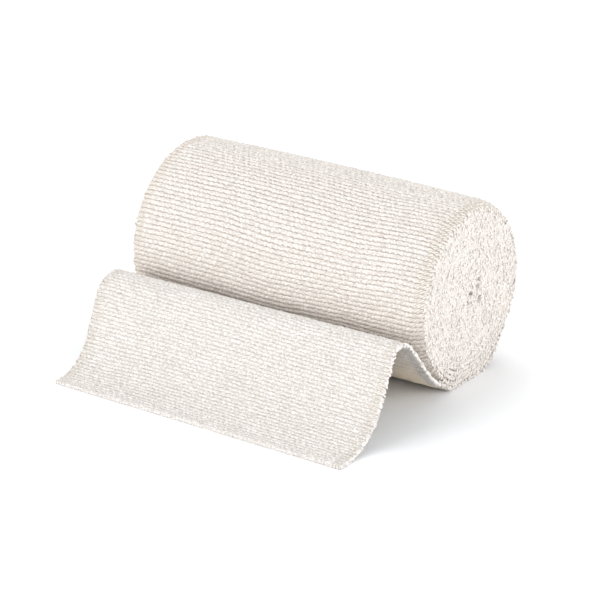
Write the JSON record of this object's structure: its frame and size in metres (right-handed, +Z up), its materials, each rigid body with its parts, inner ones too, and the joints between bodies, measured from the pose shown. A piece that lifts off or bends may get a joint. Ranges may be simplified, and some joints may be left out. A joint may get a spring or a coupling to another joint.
{
  "type": "elastic bandage",
  "caption": "Off-white woven elastic bandage wound into a roll, its free tail arched up from the roll's underside and lying flat at its cut end.",
  "frame": {"origin": "on the surface that the roll rests on, under the roll's axis and halfway along it", "axes": "+X along the roll's axis and across the strip, +Z up, and the tail comes off the roll towards -Y"},
  "size_m": [0.1006, 0.0981, 0.055],
  "materials": {
    "woven_cotton": "undyed crepe-woven cotton, warm off-white, matt, ribbed across the strip"
  },
  "bodies": {
    "root": {"wound_roll": "woven_cotton", "free_tail": "woven_cotton"}
  },
  "joints": []
}
